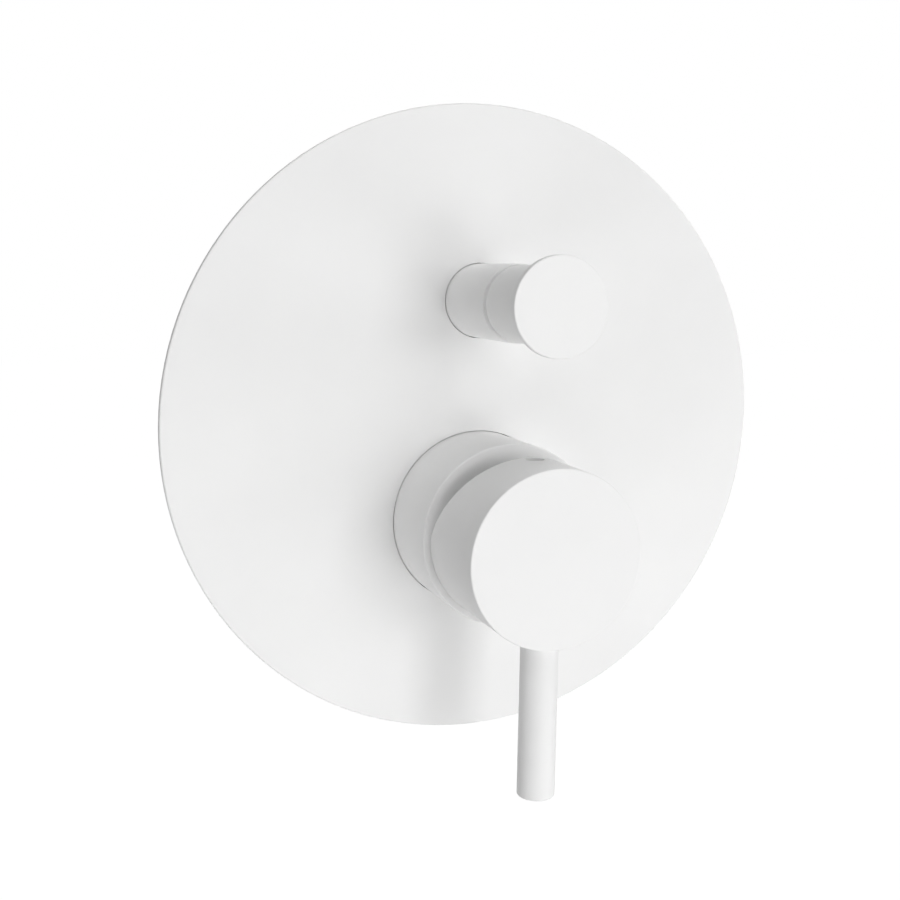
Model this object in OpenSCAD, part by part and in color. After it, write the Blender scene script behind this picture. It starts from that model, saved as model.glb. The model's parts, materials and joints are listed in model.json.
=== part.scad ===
// Concealed single-lever shower mixer with a pull diverter, in millimetres.
// +Z is up, the front faces -Y, and the origin is the plate's centre on the finished wall.
// "From the wall" is a distance outwards, towards -Y. What lies inside the wall is negative.

/* [Wall plate] */
// Diameter of the round wall plate
plate_d = 180; // [150:1:220]
// Thickness of the wall plate
plate_t = 2; // [1.6:0.1:4]
// Rounding of the plate's front edge
plate_edge_r = 0.5; // [0.2:0.1:1]
// Depth of the collars behind the plate's holes
collar_depth = 4; // [3.6:0.1:6]
// Wall of the collars behind the plate's holes
collar_wall = 3.6; // [3:0.1:5]
// Width of the foam gasket ring
gasket_w = 5; // [3:0.5:8]
// Thickness of the foam gasket ring
gasket_t = 1; // [0.5:0.1:1.2]
// Distance of the gasket from the plate's rim
gasket_inset = 3; // [2:0.5:6]

/* [Layout] */
// Height of the lever axis against the plate's centre
lever_z = -26.8; // [-34:0.1:-22]
// Distance between the lever axis and the diverter axis
axis_spacing = 62.6; // [58:0.1:72]

/* [Lever sleeve] */
// Wall of the lever sleeve
sleeve_wall = 3.15; // [2.95:0.05:5]
// Front edge of the lever sleeve, from the wall
sleeve_front = 27.5; // [25:0.1:32]
// Rounding of the sleeve's front edge
sleeve_edge_r = 0.5; // [0.3:0.1:1.8]
// Thickness of the sleeve's front wall
front_wall = 3.1; // [2.6:0.1:3.4]

/* [Lever handle] */
// How much narrower the handle is than the sleeve, on the radius
handle_step = 1.9; // [1.7:0.1:2.6]
// Length of the handle
handle_len = 29.6; // [27:0.1:36]
// Gap between sleeve and handle
handle_gap = 0.5; // [0.4:0.1:1]
// Rounding of the handle's front edge
handle_edge_r = 0.4; // [0.2:0.1:1]
// Wall around the pocket in the handle's rear
handle_wall = 2.5; // [2:0.1:3.5]
// Depth of the pocket in the handle's rear
pocket_depth = 10.5; // [10.3:0.1:11]
// Diameter of the handle's hub
hub_d = 17; // [14:0.5:18]
// Length of the handle's hub
hub_len = 2.5; // [1:0.1:2.8]
// Largest lift of the handle, in degrees
lift_max = 22; // [16:1:23]
// Where the handle's rear edge starts to be cut back, above the axis
cut_start = 0.4; // [0:0.1:1]

/* [Lever rod] */
// Diameter of the rod
rod_d = 10; // [8:0.1:12]
// End of the rod, measured down from the lever axis
rod_end = 65.4; // [50:0.1:110]
// Axis of the rod, measured from the handle's rear edge
rod_set = 20; // [19:0.1:21]
// Rounding of the rod's end
rod_edge_r = 0.6; // [0.2:0.1:1]
// Diameter of the rod's threaded end
spigot_d = 7; // [5:0.5:7.5]
// Length of the rod's threaded end
spigot_len = 9; // [6:0.5:10]
// Depth that the full rod reaches into the handle
rod_sink = 3.3; // [2.5:0.1:5]

/* [Handle set screw] */
// Diameter of the screw's hole in the top of the handle
set_screw_d = 5; // [4:0.1:5]
// Length of the set screw
set_screw_len = 8; // [5:0.5:12]
// Axis of the set screw, measured from the handle's rear edge
set_screw_set = 14.5; // [14.2:0.1:15]
// Width across the flats of the screw's socket
set_screw_key = 2.5; // [2:0.1:3]

/* [Diverter sleeve and knob] */
// Outer diameter of the diverter sleeve
knob_sleeve_d = 20.9; // [20.4:0.1:23]
// How much narrower the knob's stem is than its sleeve, on the radius
knob_step = 0.3; // [0:0.05:0.5]
// Front edge of the diverter sleeve, from the wall
knob_sleeve_front = 30; // [26:0.1:34]
// Wall of the diverter sleeve
knob_sleeve_wall = 1.25; // [1:0.05:1.4]
// Gap between diverter sleeve and knob
knob_gap = 1.5; // [0.3:0.1:2]
// Length of the knob in front of the sleeve
knob_len = 24.2; // [20:0.1:32]
// Diameter of the knob's front disc
knob_disc_d = 25.3; // [24:0.1:32]
// Thickness of the knob's front disc
knob_disc_t = 2; // [1.5:0.1:4]
// Rounding of the front disc's edge
knob_edge_r = 0.4; // [0.2:0.1:1.2]
// Length of the knob's guide inside the sleeve
guide_len = 12; // [10:0.5:14]
// Travel of the diverter knob
pull_travel = 8; // [6:0.5:9]

/* [Cartridge] */
// Outer diameter of the cartridge shell
cartridge_d = 34.8; // [34:0.1:35.4]
// Height of the cartridge, from its floor to the top of its shell
cartridge_h = 36.5; // [35.5:0.1:37]
// Distance of the pivot pin below the top of the shell
pivot_below_top = 3.5; // [3:0.1:3.6]
// Wall of the cartridge shell
shell_wall = 1.7; // [1.5:0.1:1.8]
// Outer diameter of the shell's neck
neck_d = 29; // [28.4:0.1:29.2]
// Height of the shell's step above its floor
step_h = 22; // [21:0.1:23]
// Thickness of the shell's shoulder
shoulder_t = 2; // [1.5:0.1:2.5]
// Thickness of each ceramic disc
disc_t = 4; // [3:0.1:4.5]
// Diameter of the moving ceramic disc
moving_disc_d = 21.6; // [21.2:0.1:21.8]
// Thickness of the cartridge base
base_t = 5.4; // [5:0.1:6]
// Thickness of the base's flange
base_flange_t = 1.4; // [1.2:0.1:2]
// Radius of the circle on which the two inlet ports lie
port_circle_r = 7; // [6.9:0.1:7.2]
// Diameter of each inlet port
port_d = 4.8; // [4:0.1:5]
// Diameter of the outlet port
out_port_d = 5.4; // [4.4:0.1:5.6]
// Distance from the pivot pin down to the spindle's ball
ball_arm = 9; // [8.4:0.1:9.4]
// Diameter of the spindle's ball
ball_d = 6.4; // [6:0.1:6.6]
// Diameter of the pivot pin
pin_d = 4; // [3:0.1:4.5]
// Width of the square spindle
spindle_w = 8; // [7:0.1:8.2]
// Length of the spindle in front of the pivot pin
spindle_len = 19; // [17:0.1:20]
// Height of the cartridge nut
nut_h = 6.3; // [5.5:0.1:6.4]

/* [Valve body] */
// Wall of the tower around the cartridge nut
tower_wall = 2.9; // [2.4:0.1:3.2]
// Reach of the two inlets to each side
inlet_reach = 48; // [44:1:60]
// Reach of the side outlet from the diverter axis
side_reach = 48; // [36:1:60]
// Reach of the top outlet above the diverter axis
top_reach = 34; // [30:1:45]
// Thread diameter of the inlets and outlets
thread_d = 20.96; // [16:0.02:21]
// Depth of each thread
thread_len = 13; // [10:0.5:15]
// Wall around each thread
boss_wall = 3; // [2:0.1:3.4]
// Bore of the inlet passages
inlet_bore = 12; // [10:0.5:13]
// Bore of the passage between cartridge and diverter
cross_bore = 10; // [8:0.5:11]
// Bore of the passage to the side outlet
side_bore = 8; // [6:0.5:9]
// Distance between the two fixing holes
fix_spacing = 64; // [56:1:80]
// Diameter of the fixing holes
fix_hole_d = 6.4; // [4:0.1:8]
// Thickness of the fixing bar
fix_bar_t = 5; // [4:0.5:8]
// Width of the fixing bar
fix_bar_w = 16; // [14:0.5:20]

/* [Diverter valve] */
// Diameter of the diverter spindle
stem_d = 6; // [5:0.1:6.4]
// Diameter of the piston's chamber
chamber_d = 18; // [17.6:0.1:18.4]
// Bore of the two valve seats
seat_bore = 12; // [11:0.1:12.4]
// Diameter of the piston
piston_d = 16.4; // [16:0.1:16.8]
// Thickness of the piston
piston_t = 3; // [2.8:0.1:5]
// Thread diameter of the diverter bush
bush_thread_d = 21.1; // [20.6:0.1:21.6]
// Length of the bush's thread
bush_thread_len = 7; // [5:0.5:10]
// Width across the corners of the bush's hexagon
bush_hex_d = 26; // [25:0.1:27]
// Thickness of the bush's hexagon
bush_hex_t = 3.5; // [3:0.1:5]
// Height of the space around the bush that feeds the side outlet
ring_space = 12; // [12:0.5:16]
// Length of the bush's nose
nose_len = 4; // [3.5:0.1:6]

/* [Hidden] */
$fn = 96;

white = "#f1f1ef";
brass = "#c8a24c";
steel = "#b9bcc0";
ceramic = "#e9e6dc";
plastic = "#d8d8d2";
rubber = "#2f3032";

// Clearances
over = 1;             // how far a cutting tool runs past the face that it cuts
slip = 0.2;           // radial gap of a trim piece in its hole
close_fit = 0.05;     // radial gap of a piece in its seat
run_fit = 0.06;       // radial gap of a piece that turns or slides
snug_fit = 0.02;      // radial gap of a ring or pin that fills its seat
thread_fit = 0.03;    // radial gap of a threaded piece
free_gap = 0.2;       // gap between faces that pass each other
disc_gap = 0.02;      // film between the two ceramic discs
seal_proud = 0.4;     // how far a flat seal stands out of its groove
groove_room = 0.1;    // room on each side of a ring in its groove
end_gap = 0.1;        // gap between a stopped piece and its stop

// Small rings and edges
ring_r = 0.8;         // section radius of a trim ring
small_ring_r = 0.75;  // section radius of a diverter ring
tiny_edge = 0.3;      // rounding or chamfer of a turned edge
soft_edge = 0.2;      // chamfer of a rear edge that shows
lead_in = 0.4;        // chamfer of an end that is pushed into a bore

// Wall plate
plate_r = plate_d / 2;
diverter_z = lever_z + axis_spacing;
knob_sleeve_r = knob_sleeve_d / 2;
gasket_r = plate_r - gasket_inset;

// Lever unit, from the sleeve's front wall inwards
sleeve_reach = 2;     // how far the sleeve reaches behind the plate's collar
nut_gap = 0.1;        // gap between the nut and the sleeve's front wall
tower_lip = 4.5;      // how far the tower stands in front of the cartridge's shoulder
ring_set = 12.5;      // distance of the tower's ring behind the tower's front
ring_space_half = ring_r + free_gap;
sleeve_back = -(collar_depth + sleeve_reach);
wall_back = sleeve_front - front_wall;
nut_front = wall_back - nut_gap;
shoulder_d = nut_front - nut_h;
step_d = shoulder_d - shoulder_t;
floor_d = step_d - step_h;
shell_top = floor_d + cartridge_h;
pivot_d = shell_top - pivot_below_top;
tower_front = shoulder_d + tower_lip;
tower_ring_d = tower_front - ring_set;

// Lever unit, from the cartridge's floor outwards
base_lift = 0.6;      // gap under the base, which the port seals fill
carrier_flange_t = 4; // thickness of the carrier above the moving disc
carrier_rise = 1;     // how far the carrier's cup stands in front of the ball's centre
cavity_room = 0.6;    // room in front of the carrier's cup
rotor_proud = 0.3;    // how far the rotor stands out of the shell
base_bottom = floor_d + base_lift;
base_top = base_bottom + base_t;
base_flange_top = base_bottom + base_flange_t;
fixed_disc_back = base_top + seal_proud;
moving_disc_back = fixed_disc_back + disc_t + disc_gap;
carrier_back = moving_disc_back + disc_t;
rotor_back = carrier_back + carrier_flange_t + free_gap;
ball_centre = pivot_d - ball_arm;
carrier_front = ball_centre + carrier_rise;
cavity_front = carrier_front + cavity_room;
rotor_front = shell_top + rotor_proud;

// Widths in the lever unit
neck_wall = 2.1;      // wall of the shell's neck
neck_room = 0.25;     // radial gap between the neck and the nut
neck_hole_room = 0.4; // radial gap between the neck and the sleeve's front wall
shell_room = 0.15;    // radial gap between the shell and the tower
disc_margin = 1.7;    // radial gap between the fixed disc and the shell
nut_ledge = 1.7;      // how far the nut reaches outside the shell
nut_room = 0.3;       // depth of the nut's bore behind the shoulder
nut_hex_wall = 1.6;   // how far the nut's corners reach outside its thread
nut_hex_step = 0.5;   // thickness of the hexagon in front of the thread
pivot_wall = 3;       // wall of the spindle around the pivot pin
pin_inset = 0.5;      // how far the pivot pin's ends lie inside the rotor
slot_gap = 0.15;      // gap on each side of the spindle in the rotor
slot_below = 1.5;     // room below the spindle's boss in the rotor
slot_above = 3;       // room above the boss, for the lift
spindle_corner = 1.2; // how far the spindle's trimmed corners stand out of its sides
spindle_neck_step = 0.8; // how much narrower the spindle's neck is than its ball
shell_r = cartridge_d / 2;
shell_bore_r = shell_r - shell_wall;
neck_r = neck_d / 2;
neck_bore_r = neck_r - neck_wall;
neck_hole_r = neck_r + neck_hole_room;
rotor_r = neck_bore_r - free_gap;
fixed_disc_r = shell_bore_r - disc_margin;
moving_disc_r = moving_disc_d / 2;
pin_r = pin_d / 2;
ball_r = ball_d / 2;
boss_r = pin_r + pivot_wall;
spindle_half = spindle_w / 2;
slot_half = spindle_half + slot_gap;
disc_travel = ball_arm * sin(lift_max);
nut_r = shell_r + nut_ledge;
tower_r = nut_r + tower_wall;
tower_groove_r = tower_r + close_fit - 2 * ring_r;
sleeve_bore_r = tower_r + close_fit;
sleeve_r = sleeve_bore_r + sleeve_wall;

// Ports, seals and pins of the cartridge
out_port_y = 2.6;     // height of the outlet port above the lever axis
disc_recess_r = 4.6;  // radius of the recess under the moving disc, which joins the ports
disc_recess_y = 1;    // height of that recess above the lever axis
disc_recess_t = 2;    // depth of that recess
port_margin = 0.3;    // how far a port's seal lies outside the port
seal_wall = 1.2;      // width of a port's seal
seal_sink = 1.2;      // depth of a port seal's groove
locator_x = 12;       // distance of each locating pin from the lever axis, sideways
locator_y = 6;        // height of the locating pins above the lever axis
locator_r = 2;        // radius of a locating pin
locator_len = 2;      // length of a locating pin below the cartridge's floor
carrier_rim_wall = 1; // wall of the carrier around the moving disc
carrier_skirt = 2;    // depth to which the carrier holds the moving disc
cup_wall = 2.8;       // wall of the carrier's cup around the ball
cup_room = 0.4;       // room below the ball in the cup
cup_gap = 0.3;        // gap on each side of the cup in the rotor
port_at = port_circle_r * sin(45);

// Lever handle
lift_spare = 4;       // how much steeper the cut is than the largest lift, in degrees
spigot_room = 0.5;    // room above the end of the rod's thread
key_depth = 2.5;      // depth of the set screw's socket
handle_r = sleeve_r - handle_step;
handle_back = sleeve_front + handle_gap;
handle_front = handle_back + handle_len;
pocket_floor = handle_back + pocket_depth;
pocket_r = handle_r - handle_wall;
cut_angle = lift_max + lift_spare;
rod_axis_d = handle_back + rod_set;
rod_r = rod_d / 2;
rod_top = handle_r - rod_sink;
spigot_r = spigot_d / 2;
set_screw_axis_d = handle_back + set_screw_set;
set_screw_r = set_screw_d / 2;
spindle_front = pivot_d + spindle_len;

// Diverter unit, from the bush's seat inwards
bush_sink = 6;        // distance of the bush's seat behind the plate's collar
washer_t = 1;         // thickness of the bush's washer
washer_w = 1.2;       // width of the bush's washer
bush_neck_len = 12.5; // length of the bush in front of its hexagon
bush_web = 2;         // length of the thread's end that keeps the spindle's bore
bush_port_r = 3;      // radius of the bush's four side ports
mid_step = 0.2;       // how much narrower the bush is between nose and thread
seal_set = 8;         // distance of the front spindle ring behind the bush's front
seal_pitch = 6;       // distance between the two spindle rings
seal_room = 0.15;     // radial gap outside the spindle rings
piston_proud = 0.5;   // how far a piston seal stands out, and how deep it sits
lap_in = 0.8;         // how far a piston seal reaches inside the valve seat
lap_out = 1.4;        // how far a piston seal reaches outside the valve seat
tail_step = 1;        // how much narrower the spindle's tail is, on the radius
tail_len = 5;         // length of the spindle's tail behind the piston
tail_nut_wall = 2.2;  // how far the spindle nut's corners reach outside the tail
tail_nut_t = 3;       // thickness of the spindle nut
stem_chamfer = 0.5;   // chamfer of the spindle's front end
knob_solid = 9.6;     // solid length behind the knob's face
bore_room = 0.5;      // room in front of the spindle in the knob
bush_seat = -(collar_depth + bush_sink);
hex_back = bush_seat + washer_t;
hex_front = hex_back + bush_hex_t;
bush_front = hex_front + bush_neck_len;
bush_thread_back = bush_seat - bush_thread_len;
ring_space_back = bush_thread_back - ring_space;
nose_back = ring_space_back - nose_len;
nose_seal_d = ring_space_back - nose_len / 2;
piston_stack = piston_t + 2 * piston_proud;
chamber_back = nose_back - pull_travel - piston_stack - 2 * end_gap;
piston_back = chamber_back + end_gap + piston_proud;
piston_front = piston_back + piston_t;
chamber_r = chamber_d / 2;
seat_r = seat_bore / 2;
piston_seal_in = seat_r - lap_in;
piston_seal_out = seat_r + lap_out;
bush_thread_r = bush_thread_d / 2;
bush_bore_r = bush_thread_r + close_fit;
nose_r = chamber_r - close_fit;
nose_groove_r = chamber_r - 2 * small_ring_r - close_fit;
bush_mid_r = chamber_r - mid_step;
stem_r = stem_d / 2;
stem_tail_r = stem_r - tail_step;
seal_outer_d = bush_front - seal_set;
seal_inner_d = seal_outer_d - seal_pitch;
knob_sleeve_bore_r = knob_sleeve_r - knob_sleeve_wall;
bush_neck_r = knob_sleeve_bore_r - close_fit;
guide_r = knob_sleeve_bore_r - run_fit;
knob_r = knob_sleeve_r - knob_step;
knob_back = knob_sleeve_front + knob_gap;
knob_front = knob_back + knob_len;
knob_bore_front = knob_front - knob_solid;
stem_front = knob_bore_front - bore_room;

// Passages and walls of the body
passage_wall = 3;     // wall between the inlets and the cross passage
top_wall = 2;         // wall between the chamber and the top outlet's passage
seat_run = 1;         // how far the rear seat's bore runs past the top outlet's passage
side_boss_wall = 2;   // wall around the side outlet's thread
bush_wall = 3.4;      // wall around the bush's thread
cross_wall = 6;       // wall around the cross passage
core_wall = 11;       // wall around the inlets behind the tower
tower_floor = 6;      // thickness of the tower's floor
foot_t = 4;           // thickness of the foot behind the sleeve
inlet_web = 2;        // half of the wall between the two inlets
back_margin = 1;      // metal behind the inlets' walls
thread_r = thread_d / 2;
port_wall_r = thread_r + boss_wall;
cross_d = (chamber_back + nose_back) / 2;
cross_r = cross_bore / 2;
inlet_r = inlet_bore / 2;
inlet_d = cross_d - cross_r - passage_wall - inlet_r;
top_d = chamber_back - cross_r - top_wall;
side_d = (ring_space_back + bush_thread_back) / 2;
side_r = side_bore / 2;
side_boss_r = thread_r + side_boss_wall;
body_back = inlet_d - port_wall_r - back_margin;
diverter_tower_r = bush_bore_r + bush_wall;
cross_barrel_r = cross_r + cross_wall;
fix_z = (lever_z + diverter_z) / 2;

// Points of an arc in a turned outline
function arc(x, y, r, from, to, steps = 5) =
    [for (i = [0:steps]) let (a = from + (to - from) * i / steps) [x + r * cos(a), y + r * sin(a)]];

// Places: inside these, z runs out from the wall and y runs up
module on_lever() {
    translate([0, 0, lever_z]) rotate([90, 0, 0]) children();
}

module on_diverter() {
    translate([0, 0, diverter_z]) rotate([90, 0, 0]) children();
}

// Turned shapes about the local z axis
module ring(inner, outer, from, to) {
    rotate_extrude() translate([inner, from]) square([outer - inner, to - from]);
}

module rod_between(r, from, to) {
    translate([0, 0, from]) cylinder(r = r, h = to - from);
}

module o_ring(inner, section, at) {
    rotate_extrude() translate([inner + section, at]) circle(r = section, $fn = 32);
}

module hexagon(corner_r, from, to) {
    translate([0, 0, from]) cylinder(r = corner_r, h = to - from, $fn = 6);
}

// A slot with round ends that runs from y = 0 to y = reach
module round_slot(r, reach, from, to) {
    rod_between(r, from, to);
    translate([0, reach, 0]) rod_between(r, from, to);
    translate([-r, min(0, reach), from]) cube([2 * r, abs(reach), to - from]);
}

// Places of the three ports of the cartridge: two inlets, then the outlet
module at_inlet_ports() {
    for (side = [-1, 1])
        translate([side * port_at, -port_at, 0]) children();
}

module at_outlet_port() {
    translate([0, out_port_y, 0]) children();
}

// Places of the two pins that keep the cartridge from turning
module at_locators() {
    for (side = [-1, 1])
        translate([side * locator_x, locator_y, 0]) children();
}

module port_holes(from, to) {
    at_inlet_ports() rod_between(port_d / 2, from, to);
    at_outlet_port() rod_between(out_port_d / 2, from, to);
}

// A flat seal around a port of radius r, or its groove with some extra width on each side
module port_ring(r, from, to, extra) {
    ring(r + port_margin - extra, r + port_margin + seal_wall + extra, from, to);
}

module port_rings(from, to, extra = 0) {
    at_inlet_ports() port_ring(port_d / 2, from, to, extra);
    at_outlet_port() port_ring(out_port_d / 2, from, to, extra);
}

// Wall plate and trim
module plate_blank() {
    rotate_extrude($fn = 180)
        polygon(concat(
            [[0, 0], [plate_r, 0]],
            arc(plate_r - plate_edge_r, plate_t - plate_edge_r, plate_edge_r, 0, 90),
            [[0, plate_t]]
        ));
}

module collar(trim_r) {
    rod_between(trim_r + slip + collar_wall, -collar_depth, plate_t / 2);
}

// The hole for a sleeve, with the groove for the sleeve's ring
module collar_bore(trim_r) {
    half = ring_r + groove_room;
    rod_between(trim_r + slip, -collar_depth - over, plate_t + over);
    rod_between(trim_r + 2 * ring_r + close_fit, -collar_depth / 2 - half, -collar_depth / 2 + half);
}

module wall_plate() {
    color(white)
    difference() {
        union() {
            rotate([90, 0, 0]) plate_blank();
            on_lever() collar(sleeve_r);
            on_diverter() collar(knob_sleeve_r);
        }
        on_lever() collar_bore(sleeve_r);
        on_diverter() collar_bore(knob_sleeve_r);
        rotate([90, 0, 0])
            ring(gasket_r - gasket_w - close_fit, gasket_r + close_fit, -over, gasket_t);
    }
}

module plate_gasket() {
    color(rubber)
    rotate([90, 0, 0]) ring(gasket_r - gasket_w, gasket_r, 0, gasket_t);
}

module lever_sleeve() {
    color(white)
    on_lever() rotate_extrude()
        polygon(concat(
            [[sleeve_bore_r, sleeve_back], [sleeve_r, sleeve_back]],
            arc(sleeve_r - sleeve_edge_r, sleeve_front - sleeve_edge_r, sleeve_edge_r, 0, 90, 10),
            [[neck_hole_r, sleeve_front], [neck_hole_r, wall_back], [sleeve_bore_r, wall_back]]
        ));
}

module lever_sleeve_seal() {
    color(rubber)
    on_lever() o_ring(sleeve_r + snug_fit, ring_r, -collar_depth / 2);
}

// Lever handle
module handle_blank() {
    rotate_extrude()
        polygon(concat(
            [[0, handle_back], [handle_r - soft_edge, handle_back], [handle_r, handle_back + soft_edge]],
            arc(handle_r - handle_edge_r, handle_front - handle_edge_r, handle_edge_r, 0, 90),
            [[0, handle_front]]
        ));
}

// The room that the handle's upper rear edge needs when the handle is lifted
module lift_relief() {
    reach = 4 * handle_r;
    translate([0, cut_start, handle_back]) rotate([cut_angle, 0, 0])
        translate([-reach / 2, 0, -reach]) cube(reach);
}

// Inside this, z runs down along the rod, from the height of the lever axis
module along_rod() {
    translate([0, 0, rod_axis_d]) rotate([90, 0, 0]) children();
}

// Inside this, z runs up along the set screw, from the height of the lever axis
module along_set_screw() {
    translate([0, 0, set_screw_axis_d]) rotate([-90, 0, 0]) children();
}

module lever_handle() {
    socket_half = spindle_half + close_fit;
    color(white)
    on_lever() difference() {
        union() {
            difference() {
                handle_blank();
                rod_between(pocket_r, handle_back - over, pocket_floor);
            }
            rod_between(hub_d / 2, pocket_floor - hub_len, pocket_floor + over);
        }
        lift_relief();
        translate([-socket_half, -socket_half, pocket_floor - hub_len - over])
            cube([2 * socket_half, 2 * socket_half, spindle_front + 2 * over - pocket_floor + hub_len]);
        along_rod() {
            rod_between(rod_r + close_fit, rod_top, handle_r + over);
            rod_between(spigot_r + close_fit, rod_top - spigot_len - spigot_room, rod_top + over);
        }
        along_set_screw() rod_between(set_screw_r, spindle_half - over, handle_r + over);
    }
}

module lever_rod() {
    tip = rod_top - spigot_len;
    color(white)
    on_lever() along_rod() rotate_extrude()
        polygon(concat(
            [[0, tip], [spigot_r - lead_in, tip], [spigot_r, tip + lead_in],
             [spigot_r, rod_top], [rod_r, rod_top]],
            arc(rod_r - rod_edge_r, rod_end - rod_edge_r, rod_edge_r, 0, 90),
            [[0, rod_end]]
        ));
}

module handle_set_screw() {
    from = spindle_half + snug_fit;
    to = from + set_screw_len;
    color(steel)
    on_lever() along_set_screw() difference() {
        rod_between(set_screw_r - thread_fit, from, to);
        hexagon(set_screw_key / sqrt(3), to - key_depth, to + over);
    }
}

// Diverter trim
module diverter_sleeve() {
    color(white)
    on_diverter() rotate_extrude()
        polygon(concat(
            [[knob_sleeve_bore_r, hex_front], [knob_sleeve_r, hex_front]],
            arc(knob_sleeve_r - tiny_edge, knob_sleeve_front - tiny_edge, tiny_edge, 0, 90, 4),
            [[knob_sleeve_bore_r, knob_sleeve_front]]
        ));
}

module diverter_sleeve_seal() {
    color(rubber)
    on_diverter() o_ring(knob_sleeve_r + snug_fit, ring_r, -collar_depth / 2);
}

module diverter_knob() {
    disc_r = knob_disc_d / 2;
    disc_back = knob_front - knob_disc_t;
    guide_back = knob_back - guide_len;
    bore_r = stem_r + snug_fit;
    color(white)
    on_diverter() rotate_extrude()
        polygon(concat(
            [[bore_r, guide_back], [guide_r - lead_in, guide_back], [guide_r, guide_back + lead_in],
             [guide_r, knob_back], [knob_r - soft_edge, knob_back], [knob_r, knob_back + soft_edge],
             [knob_r, disc_back], [disc_r - soft_edge, disc_back], [disc_r, disc_back + soft_edge]],
            arc(disc_r - knob_edge_r, knob_front - knob_edge_r, knob_edge_r, 0, 90),
            [[0, knob_front], [0, knob_bore_front], [bore_r, knob_bore_front]]
        ));
}

// Valve body: one casting
module lever_tower() {
    on_lever() {
        rod_between(tower_r, floor_d - tower_floor, tower_front);
        rod_between(sleeve_r - slip, sleeve_back - foot_t, sleeve_back);
        rod_between(inlet_r + core_wall, body_back, floor_d - tower_floor + over);
        translate([0, 0, inlet_d]) rotate([0, 90, 0])
            rod_between(port_wall_r, -inlet_reach, inlet_reach);
    }
}

module diverter_tower() {
    on_diverter() {
        rod_between(diverter_tower_r, body_back, bush_seat);
        translate([0, 0, side_d]) rotate([0, 90, 0]) rod_between(side_boss_r, 0, side_reach);
        translate([0, 0, top_d]) rotate([-90, 0, 0]) rod_between(port_wall_r, 0, top_reach);
    }
}

module body_link() {
    translate([0, -cross_d, lever_z]) cylinder(r = cross_barrel_r, h = axis_spacing);
    translate([-cross_barrel_r / 2, -cross_d, lever_z])
        cube([cross_barrel_r, cross_d - body_back, axis_spacing]);
}

module fixing_bar() {
    translate([0, 0, fix_z]) rotate([90, 0, 0]) {
        for (side = [-1, 1])
            translate([side * fix_spacing / 2, 0, 0])
                rod_between(fix_bar_w / 2, body_back, body_back + fix_bar_t);
        translate([-fix_spacing / 2, -fix_bar_w / 2, body_back])
            cube([fix_spacing, fix_bar_w, fix_bar_t]);
    }
}

module fixing_holes() {
    translate([0, 0, fix_z]) rotate([90, 0, 0])
        for (side = [-1, 1])
            translate([side * fix_spacing / 2, 0, 0])
                rod_between(fix_hole_d / 2, body_back - over, body_back + fix_bar_t + over);
}

module lever_bores() {
    on_lever() {
        rod_between(shell_r + shell_room, floor_d, tower_front + over);
        rod_between(nut_r + close_fit, shoulder_d - nut_room, tower_front + over);
        ring(tower_groove_r, tower_r + over, tower_ring_d - ring_space_half, tower_ring_d + ring_space_half);
        at_inlet_ports() rod_between(port_d / 2 + port_margin, inlet_d, floor_d + over);
        at_outlet_port() rod_between(out_port_d / 2 + port_margin, cross_d, floor_d + over);
        at_locators() rod_between(locator_r + groove_room, floor_d - locator_len - base_lift, floor_d + over);
        for (side = [-1, 1])
            translate([0, 0, inlet_d]) rotate([0, side * 90, 0]) {
                rod_between(inlet_r, inlet_web, inlet_reach);
                rod_between(thread_r, inlet_reach - thread_len, inlet_reach + over);
            }
    }
}

module diverter_bores() {
    on_diverter() {
        rod_between(chamber_r, chamber_back, bush_seat + over);
        rod_between(bush_bore_r, ring_space_back, bush_seat + over);
        rod_between(seat_r, top_d - cross_r - seat_run, chamber_back + over);
        translate([0, 0, side_d]) rotate([0, 90, 0]) {
            rod_between(side_r, 0, side_reach);
            rod_between(thread_r, side_reach - thread_len, side_reach + over);
        }
        translate([0, 0, top_d]) rotate([-90, 0, 0]) {
            rod_between(cross_r, 0, top_reach);
            rod_between(thread_r, top_reach - thread_len, top_reach + over);
        }
    }
}

module cross_passage() {
    translate([0, -cross_d, lever_z]) cylinder(r = cross_r, h = axis_spacing);
}

module valve_body() {
    color(brass)
    difference() {
        union() {
            lever_tower();
            diverter_tower();
            body_link();
            fixing_bar();
        }
        lever_bores();
        diverter_bores();
        cross_passage();
        fixing_holes();
    }
}

module tower_ring() {
    color(rubber)
    on_lever() o_ring(tower_groove_r + snug_fit, ring_r - snug_fit, tower_ring_d);
}

// Cartridge
module cartridge_nut() {
    color(brass)
    on_lever() difference() {
        union() {
            rod_between(nut_r, shoulder_d, nut_front - nut_hex_step);
            hexagon(nut_r + nut_hex_wall, tower_front + free_gap, nut_front);
        }
        rod_between(neck_r + neck_room, shoulder_d - over, nut_front + over);
    }
}

module cartridge_shell() {
    color(plastic)
    on_lever() rotate_extrude()
        polygon([
            [shell_bore_r, base_flange_top], [shell_r, base_flange_top], [shell_r, shoulder_d],
            [neck_r, shoulder_d], [neck_r, shell_top - lead_in], [neck_r - lead_in, shell_top],
            [neck_bore_r, shell_top], [neck_bore_r, step_d], [shell_bore_r, step_d]
        ]);
}

module cartridge_base() {
    color(plastic)
    on_lever() difference() {
        union() {
            rod_between(shell_r, base_bottom, base_flange_top);
            rod_between(shell_bore_r - close_fit, base_bottom, base_top);
            at_locators() rod_between(locator_r, floor_d - locator_len, base_bottom + over);
        }
        port_holes(base_bottom - over, base_top + over);
        port_rings(base_bottom - over, base_bottom + seal_sink, close_fit);
        port_rings(base_top - seal_sink, base_top + over, close_fit);
    }
}

module port_seals() {
    color(rubber)
    on_lever() port_rings(floor_d, base_bottom + seal_sink);
}

module disc_seals() {
    color(rubber)
    on_lever() port_rings(base_top - seal_sink, fixed_disc_back);
}

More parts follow.
